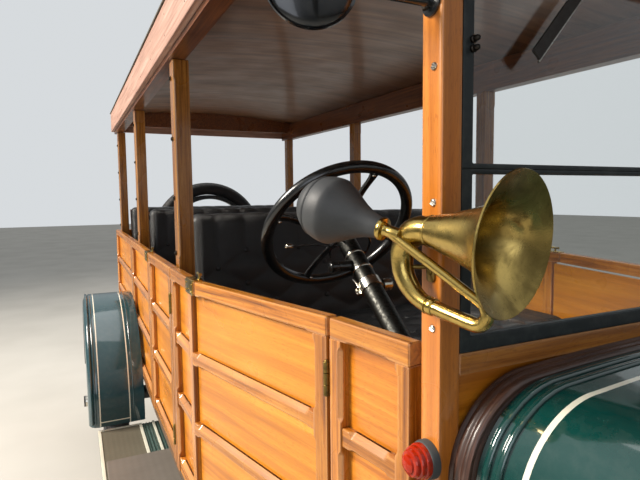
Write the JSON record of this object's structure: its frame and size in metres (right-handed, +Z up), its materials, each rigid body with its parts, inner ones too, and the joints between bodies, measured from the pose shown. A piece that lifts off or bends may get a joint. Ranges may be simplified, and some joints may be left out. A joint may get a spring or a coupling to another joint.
{
  "type": "vintage wooden-bodied bus",
  "caption": "Open-sided station bus with panelled wooden body, flat roof, spoked wheels, hinged doors and bonnet, and linked steering.",
  "frame": {"origin": "on the ground under the middle of the bus's box, on its centre line", "axes": "+Z up, -Y forwards, +X towards the bus's left side"},
  "size_m": [1.718, 4.5328, 1.9716],
  "materials": {
    "chassis_black": "satin",
    "engine_iron": "matte",
    "enamel_green": "gloss",
    "radiator_nickel": "satin",
    "varnished_wood": "gloss",
    "plywood": "satin",
    "roof_paint": "satin",
    "roof_canvas": "matte",
    "black_enamel": "gloss",
    "clear_glass": "gloss",
    "brass": "gloss",
    "seat_leather": "satin",
    "tyre_rubber": "matte",
    "wheel_wood": "gloss",
    "mirror_steel": "gloss",
    "board_mat": "matte"
  },
  "bodies": {
    "chassis": {"side_wall_right": "varnished_wood", "side_wall_left": "varnished_wood", "hinges": "brass", "tail_panel": "varnished_wood", "floor": "plywood", "roof_frame": "varnished_wood", "roof_deck": "plywood", "roof_fascia": "roof_paint", "roof_cover": "roof_canvas", "posts": "varnished_wood", "windscreen_frame": "black_enamel", "windscreen_glass": "clear_glass", "dash_panel": "varnished_wood", "cowl_moulding": "plywood", "scuttle": "enamel_green", "radiator": "radiator_nickel", "bonnet_rod": "radiator_nickel", "chassis_frame": "chassis_black", "engine": "engine_iron", "exhaust": "engine_iron", "rear_axle": "chassis_black", "springs": "chassis_black", "front_axle": "chassis_black", "spare_tyre": "tyre_rubber", "spare_carrier": "black_enamel", "fenders": "enamel_green", "running_boards": "board_mat", "steering_column": "black_enamel", "front_seat": "seat_leather", "middle_seat": "seat_leather", "rear_seat": "seat_leather", "seat_frames": "varnished_wood", "horn": "brass", "mirror": "mirror_steel", "lamps": "black_enamel"},
    "front_door_right": {"front_door_right": "varnished_wood"},
    "front_door_left": {"front_door_left": "varnished_wood"},
    "second_door_right": {"second_door_right": "varnished_wood"},
    "second_door_left": {"second_door_left": "varnished_wood"},
    "bonnet_left": {"bonnet_left": "enamel_green"},
    "bonnet_right": {"bonnet_right": "enamel_green"},
    "steering_wheel": {"steering_wheel": "black_enamel"},
    "knuckle_left": {"knuckle_left": "chassis_black"},
    "knuckle_right": {"knuckle_right": "chassis_black"},
    "tie_rod": {"tie_rod": "chassis_black"},
    "wheel_front_left": {"wheel_front_left": "wheel_wood", "tyre_front_left": "tyre_rubber"},
    "wheel_front_right": {"wheel_front_right": "wheel_wood", "tyre_front_right": "tyre_rubber"},
    "wheel_rear_left": {"wheel_rear_left": "wheel_wood", "tyre_rear_left": "tyre_rubber"},
    "wheel_rear_right": {"wheel_rear_right": "wheel_wood", "tyre_rear_right": "tyre_rubber"}
  },
  "joints": [
    {"name": "front_door_right_swing", "type": "hinge", "parent": "chassis", "child": "front_door_right", "pos_m": [-0.50018, -0.69884, 0.8925], "axis": [0, 0, 1], "range_deg": [0, 75]},
    {"name": "second_door_right_swing", "type": "hinge", "parent": "chassis", "child": "second_door_right", "pos_m": [-0.62501, 0.04625, 0.8925], "axis": [0, 0, 1], "range_deg": [0, 75]},
    {"name": "front_door_left_swing", "type": "hinge", "parent": "chassis", "child": "front_door_left", "pos_m": [0.50018, -0.69884, 0.8925], "axis": [0, 0, -1], "range_deg": [0, 75]},
    {"name": "second_door_left_swing", "type": "hinge", "parent": "chassis", "child": "second_door_left", "pos_m": [0.62501, 0.04625, 0.8925], "axis": [0, 0, -1], "range_deg": [0, 75]},
    {"name": "bonnet_left_lift", "type": "hinge", "parent": "chassis", "child": "bonnet_left", "pos_m": [0, -1.4915, 1.084], "axis": [0, -0.9968, -0.0805], "range_deg": [0, 75]},
    {"name": "bonnet_right_lift", "type": "hinge", "parent": "chassis", "child": "bonnet_right", "pos_m": [0, -1.4915, 1.084], "axis": [0, 0.9968, 0.0805], "range_deg": [0, 75]},
    {"name": "steer", "type": "hinge", "parent": "chassis", "child": "knuckle_left", "pos_m": [0.662, -1.8315, 0.3875], "axis": [0, 0, 1], "range_deg": [-30, 30]},
    {"name": "steer_right", "type": "hinge", "parent": "chassis", "child": "knuckle_right", "pos_m": [-0.662, -1.8315, 0.3875], "axis": [0, 0, 1], "range_deg": [-30, 30]},
    {"name": "tie_rod_pin", "type": "hinge", "parent": "knuckle_left", "child": "tie_rod", "pos_m": [0.662, -1.7015, 0.3815], "axis": [0, 0, 1], "range_deg": [-30, 30]},
    {"name": "steering_wheel_turn", "type": "hinge", "parent": "chassis", "child": "steering_wheel", "pos_m": [-0.262, -0.2905, 1.301], "axis": [0, -0.7771, -0.6293], "range_deg": [-120, 120]},
    {"name": "wheel_front_left_spin", "type": "hinge", "parent": "knuckle_left", "child": "wheel_front_left", "pos_m": [0.725, -1.8315, 0.3875], "axis": [1, 0, 0], "continuous": true},
    {"name": "wheel_front_right_spin", "type": "hinge", "parent": "knuckle_right", "child": "wheel_front_right", "pos_m": [-0.725, -1.8315, 0.3875], "axis": [1, 0, 0], "continuous": true},
    {"name": "wheel_rear_left_spin", "type": "hinge", "parent": "chassis", "child": "wheel_rear_left", "pos_m": [0.725, 1.2985, 0.3875], "axis": [1, 0, 0], "continuous": true},
    {"name": "wheel_rear_right_spin", "type": "hinge", "parent": "chassis", "child": "wheel_rear_right", "pos_m": [-0.725, 1.2985, 0.3875], "axis": [1, 0, 0], "continuous": true}
  ],
  "couplings": [
    {"joint": "steer_right", "follows": "steer", "ratio": 1},
    {"joint": "tie_rod_pin", "follows": "steer", "ratio": -1},
    {"joint": "steering_wheel_turn", "follows": "steer", "ratio": -4}
  ]
}
